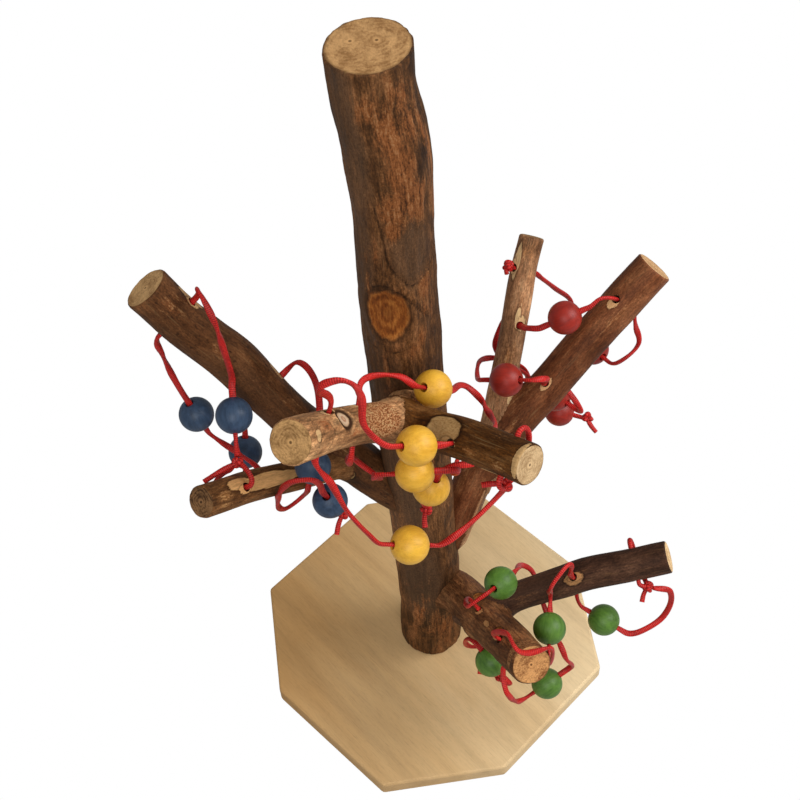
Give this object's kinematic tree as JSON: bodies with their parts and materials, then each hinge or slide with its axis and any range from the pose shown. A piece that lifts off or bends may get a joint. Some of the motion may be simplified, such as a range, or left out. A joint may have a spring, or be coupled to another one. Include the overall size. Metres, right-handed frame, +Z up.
{
  "type": "bead threading tree",
  "caption": "Wooden fine-motor threading tree: a bark log on a flat board with forked sticks, drilled and laced with cords that carry coloured wooden beads",
  "frame": {"origin": "centre of the board's flat underside", "axes": "+Z up along the trunk; -Y towards the camera side, where the board's near edge runs along X; +X to the right of that side"},
  "size_m": [0.2737, 0.2067, 0.4739],
  "materials": {
    "bark": "rough brown bark, pale sawn ends",
    "board": "smooth sanded pale wood with a fine straight grain",
    "peg": "plain dowel",
    "steel": "zinc plated",
    "lace": "soft red cord with a satin sheen",
    "blue_bead": "dark blue stained, matte",
    "yellow_bead": "yellow stained, matte",
    "green_bead": "green stained, matte",
    "red_bead": "red stained, matte"
  },
  "bodies": {
    "tree": {"base_board": "board", "base_screw_1": "steel", "base_screw_2": "steel", "blue_end_knot": "lace", "blue_fork": "bark", "blue_lace": "lace", "blue_peg": "peg", "blue_tie_knot": "lace", "green_end_knot": "lace", "green_fork": "bark", "green_lace": "lace", "green_peg": "peg", "green_tie_knot": "lace", "red_end_knot": "lace", "red_fork": "bark", "red_lace": "lace", "red_peg": "peg", "red_tie_knot": "lace", "trunk": "bark", "yellow_end_knot": "lace", "yellow_fork": "bark", "yellow_lace": "lace", "yellow_peg": "peg", "yellow_tie_knot": "lace"},
    "blue_bead_1": {"blue_bead_1": "blue_bead"},
    "blue_bead_2": {"blue_bead_2": "blue_bead"},
    "blue_bead_3": {"blue_bead_3": "blue_bead"},
    "blue_bead_4": {"blue_bead_4": "blue_bead"},
    "blue_bead_5": {"blue_bead_5": "blue_bead"},
    "red_bead_1": {"red_bead_1": "red_bead"},
    "red_bead_2": {"red_bead_2": "red_bead"},
    "red_bead_3": {"red_bead_3": "red_bead"},
    "red_bead_4": {"red_bead_4": "red_bead"},
    "red_bead_5": {"red_bead_5": "red_bead"},
    "green_bead_1": {"green_bead_1": "green_bead"},
    "green_bead_2": {"green_bead_2": "green_bead"},
    "green_bead_3": {"green_bead_3": "green_bead"},
    "green_bead_4": {"green_bead_4": "green_bead"},
    "green_bead_5": {"green_bead_5": "green_bead"},
    "yellow_bead_1": {"yellow_bead_1": "yellow_bead"},
    "yellow_bead_2": {"yellow_bead_2": "yellow_bead"},
    "yellow_bead_3": {"yellow_bead_3": "yellow_bead"},
    "yellow_bead_4": {"yellow_bead_4": "yellow_bead"},
    "yellow_bead_5": {"yellow_bead_5": "yellow_bead"}
  },
  "joints": [
    {"name": "blue_bead_1_slide", "type": "slide", "parent": "tree", "child": "blue_bead_1", "axis": [0.0523, 0.8505, 0.5234], "range_m": [-0.004, 0.004]},
    {"name": "blue_bead_2_slide", "type": "slide", "parent": "tree", "child": "blue_bead_2", "axis": [0.2671, -0.1374, -0.9538], "range_m": [-0.004, 0.004]},
    {"name": "blue_bead_3_slide", "type": "slide", "parent": "tree", "child": "blue_bead_3", "axis": [0.1295, 0.4945, 0.8595], "range_m": [-0.004, 0.004]},
    {"name": "blue_bead_4_slide", "type": "slide", "parent": "tree", "child": "blue_bead_4", "axis": [-0.2609, -0.1826, -0.9479], "range_m": [-0.004, 0.004]},
    {"name": "blue_bead_5_slide", "type": "slide", "parent": "tree", "child": "blue_bead_5", "axis": [0.1829, 0.2942, -0.9381], "range_m": [-0.004, 0.004]},
    {"name": "red_bead_1_slide", "type": "slide", "parent": "tree", "child": "red_bead_1", "axis": [0.4433, -0.8866, 0.1318], "range_m": [-0.004, 0.004]},
    {"name": "red_bead_2_slide", "type": "slide", "parent": "tree", "child": "red_bead_2", "axis": [-0.9112, 0, -0.4119], "range_m": [-0.004, 0.004]},
    {"name": "red_bead_3_slide", "type": "slide", "parent": "tree", "child": "red_bead_3", "axis": [0.6257, -0.7792, 0.0354], "range_m": [-0.004, 0.004]},
    {"name": "red_bead_4_slide", "type": "slide", "parent": "tree", "child": "red_bead_4", "axis": [-0.7621, 0.4807, -0.4338], "range_m": [-0.004, 0.004]},
    {"name": "red_bead_5_slide", "type": "slide", "parent": "tree", "child": "red_bead_5", "axis": [0.9068, -0.4081, -0.1058], "range_m": [-0.004, 0.004]},
    {"name": "green_bead_1_slide", "type": "slide", "parent": "tree", "child": "green_bead_1", "axis": [-0.7749, 0.5933, 0.2179], "range_m": [-0.004, 0.004]},
    {"name": "green_bead_2_slide", "type": "slide", "parent": "tree", "child": "green_bead_2", "axis": [-0.204, -0.91, -0.3609], "range_m": [-0.004, 0.004]},
    {"name": "green_bead_3_slide", "type": "slide", "parent": "tree", "child": "green_bead_3", "axis": [0.8684, 0.2809, 0.4086], "range_m": [-0.004, 0.004]},
    {"name": "green_bead_4_slide", "type": "slide", "parent": "tree", "child": "green_bead_4", "axis": [-0.5946, -0.619, 0.5131], "range_m": [-0.004, 0.004]},
    {"name": "green_bead_5_slide", "type": "slide", "parent": "tree", "child": "green_bead_5", "axis": [0.5289, -0.6102, -0.5899], "range_m": [-0.004, 0.004]},
    {"name": "yellow_bead_1_slide", "type": "slide", "parent": "tree", "child": "yellow_bead_1", "axis": [-0.8996, -0.0923, 0.4268], "range_m": [-0.004, 0.004]},
    {"name": "yellow_bead_2_slide", "type": "slide", "parent": "tree", "child": "yellow_bead_2", "axis": [0.8004, 0.2776, -0.5313], "range_m": [-0.004, 0.004]},
    {"name": "yellow_bead_3_slide", "type": "slide", "parent": "tree", "child": "yellow_bead_3", "axis": [-0.5771, -0.379, 0.7235], "range_m": [-0.004, 0.004]},
    {"name": "yellow_bead_4_slide", "type": "slide", "parent": "tree", "child": "yellow_bead_4", "axis": [0.9928, -0.1119, 0.042], "range_m": [-0.004, 0.004]},
    {"name": "yellow_bead_5_slide", "type": "slide", "parent": "tree", "child": "yellow_bead_5", "axis": [-0.2654, 0.1448, -0.9532], "range_m": [-0.004, 0.004]}
  ]
}
